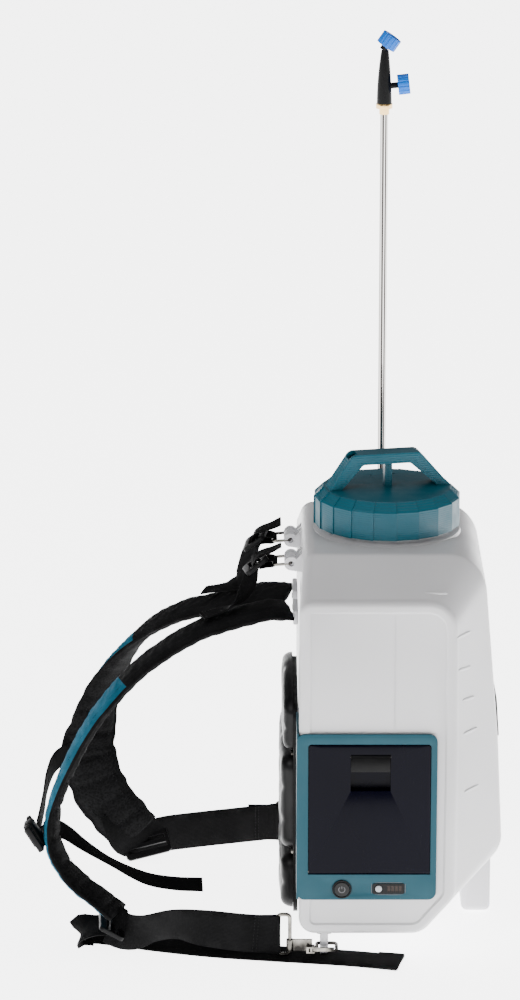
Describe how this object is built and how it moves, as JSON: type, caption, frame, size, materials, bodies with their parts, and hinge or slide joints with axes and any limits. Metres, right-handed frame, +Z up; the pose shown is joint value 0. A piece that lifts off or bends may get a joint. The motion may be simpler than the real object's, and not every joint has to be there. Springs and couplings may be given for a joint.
{
  "type": "backpack sprayer",
  "caption": "Battery-powered backpack sprayer: translucent tank with screw cap and carrying handle, padded harness, battery door and a long lance in side holders.",
  "frame": {"origin": "on the standing surface, under the axis of the filler neck", "axes": "+Z up along the neck's axis, -X towards the wearer's back, -Y the battery side, +Y the lance side"},
  "size_m": [0.5261, 0.4299, 0.9605],
  "materials": {
    "tank_plastic": "translucent white blow-moulded polyethylene, satin",
    "teal_plastic": "teal moulded plastic, satin",
    "frame_teal": "dark teal moulded plastic, satin",
    "door_navy": "very dark navy, glossy",
    "black_plastic": "black moulded plastic, fine grain",
    "grey_plastic": "light grey moulded plastic",
    "panel_dark": "smoked panel",
    "panel_window": "smoked light window",
    "black_rubber": "soft black rubber",
    "board_green": "coated circuit board",
    "clear_hose": "natural braided hose",
    "steel": "nickel-plated steel",
    "chrome": "polished",
    "brass": "turned brass",
    "nozzle_blue": "bright blue moulded plastic",
    "foam_black": "moulded closed-cell foam",
    "strap_fabric": "padded strap, woven teal face and black mesh inside",
    "webbing": "woven black polyester webbing"
  },
  "bodies": {
    "pack": {"back_pads": "foam_black", "back_plate": "black_plastic", "badge_plate": "panel_dark", "base_cover": "black_plastic", "battery_housing": "frame_teal", "battery_pack": "black_plastic", "case_screws": "steel", "chest_buckle": "black_plastic", "chest_webbings": "webbing", "controller_board": "board_green", "door_gasket": "black_rubber", "door_hinge_pin": "steel", "filler_neck": "tank_plastic", "gate_pins": "steel", "hook_rings": "steel", "indicator_panel": "panel_dark", "lance_holders": "black_plastic", "led_window": "panel_window", "lifter_buckles": "black_plastic", "lifter_webbings": "webbing", "lower_webbings": "webbing", "lug_rings": "steel", "motor_bearings": "steel", "motor_can": "steel", "outlet_fitting": "brass", "pump_diaphragm": "black_rubber", "pump_head": "black_plastic", "pump_hoses": "clear_hose", "pump_valve_cover": "black_plastic", "shoulder_strap_left": "strap_fabric", "shoulder_strap_right": "strap_fabric", "snap_hooks": "steel", "strainer_basket": "black_plastic", "strap_anchors": "tank_plastic", "strap_buckles": "black_plastic", "tank": "tank_plastic", "tank_outlet_strainer": "black_plastic", "terminal_block": "black_plastic", "webbing_tail": "webbing"},
    "cap": {"cap": "teal_plastic", "breather_valve": "black_rubber"},
    "cap_seat": {"cap_gasket": "black_rubber"},
    "battery_door": {"battery_door": "door_navy", "latch_pin": "steel"},
    "door_latch": {"door_latch": "black_plastic"},
    "power_button": {"power_button": "black_rubber"},
    "check_button": {"check_button": "grey_plastic"},
    "motor_rotor": {"motor_rotor": "steel"},
    "drain_cap": {"drain_cap": "teal_plastic"},
    "lance": {"lance_tube": "chrome", "lance_nut": "brass", "nozzle_body": "black_plastic", "lance_grip": "black_plastic", "grip_inlet": "brass", "trigger_pin": "steel"},
    "nozzle_cap": {"nozzle_cap": "nozzle_blue"},
    "side_knob": {"side_knob": "nozzle_blue"},
    "trigger": {"trigger": "teal_plastic"},
    "hook_gate_left": {"hook_gate_left": "steel"},
    "hook_gate_right": {"hook_gate_right": "steel"}
  },
  "joints": [
    {"name": "cap_lift", "type": "slide", "parent": "pack", "child": "cap_seat", "axis": [0, 0, 1], "range_m": [0, 0.08]},
    {"name": "cap_turn", "type": "hinge", "parent": "cap_seat", "child": "cap", "pos_m": [0, 0, 0.47], "axis": [0, 0, 1], "continuous": true},
    {"name": "door_hinge", "type": "hinge", "parent": "pack", "child": "battery_door", "pos_m": [-0.02165, -0.1826, 0.102], "axis": [1, 0, 0], "range_deg": [0, 95]},
    {"name": "latch_pull", "type": "hinge", "parent": "battery_door", "child": "door_latch", "pos_m": [-0.0206, -0.1809, 0.233], "axis": [-1, 0, 0], "range_deg": [0, 20], "stiffness_Nm_per_rad": 0.05},
    {"name": "power_press", "type": "slide", "parent": "pack", "child": "power_button", "axis": [0, 1, 0], "range_m": [0, 0.0015], "stiffness_N_per_m": 600},
    {"name": "check_press", "type": "slide", "parent": "pack", "child": "check_button", "axis": [0, 1, 0], "range_m": [0, 0.0008], "stiffness_N_per_m": 500},
    {"name": "motor_spin", "type": "hinge", "parent": "pack", "child": "motor_rotor", "pos_m": [-0.066, -0.035, 0.108], "axis": [0, 1, 0], "continuous": true},
    {"name": "drain_turn", "type": "hinge", "parent": "pack", "child": "drain_cap", "pos_m": [0.01, 0.13, 0.02], "axis": [0, 0, 1], "continuous": true},
    {"name": "lance_lift", "type": "slide", "parent": "pack", "child": "lance", "axis": [0, 0, 1], "range_m": [0, 0.06]},
    {"name": "nozzle_turn", "type": "hinge", "parent": "lance", "child": "nozzle_cap", "pos_m": [0.0004, 0.196, 0.9425], "axis": [0.5736, 0, 0.8192], "continuous": true},
    {"name": "knob_turn", "type": "hinge", "parent": "lance", "child": "side_knob", "pos_m": [0.0147, 0.196, 0.8987], "axis": [0.9929, 0, 0.1191], "continuous": true},
    {"name": "trigger_squeeze", "type": "hinge", "parent": "lance", "child": "trigger", "pos_m": [-0.0195, 0.196, 0.236], "axis": [0, -1, 0], "range_deg": [0, 5], "stiffness_Nm_per_rad": 0.5},
    {"name": "gate_left", "type": "hinge", "parent": "pack", "child": "hook_gate_left", "pos_m": [-0.084, -0.186, 0.0125], "axis": [0, 0, 1], "range_deg": [0, 12], "stiffness_Nm_per_rad": 0.02},
    {"name": "gate_right", "type": "hinge", "parent": "pack", "child": "hook_gate_right", "pos_m": [-0.084, 0.186, 0.0125], "axis": [0, 0, -1], "range_deg": [0, 12], "stiffness_Nm_per_rad": 0.02}
  ]
}
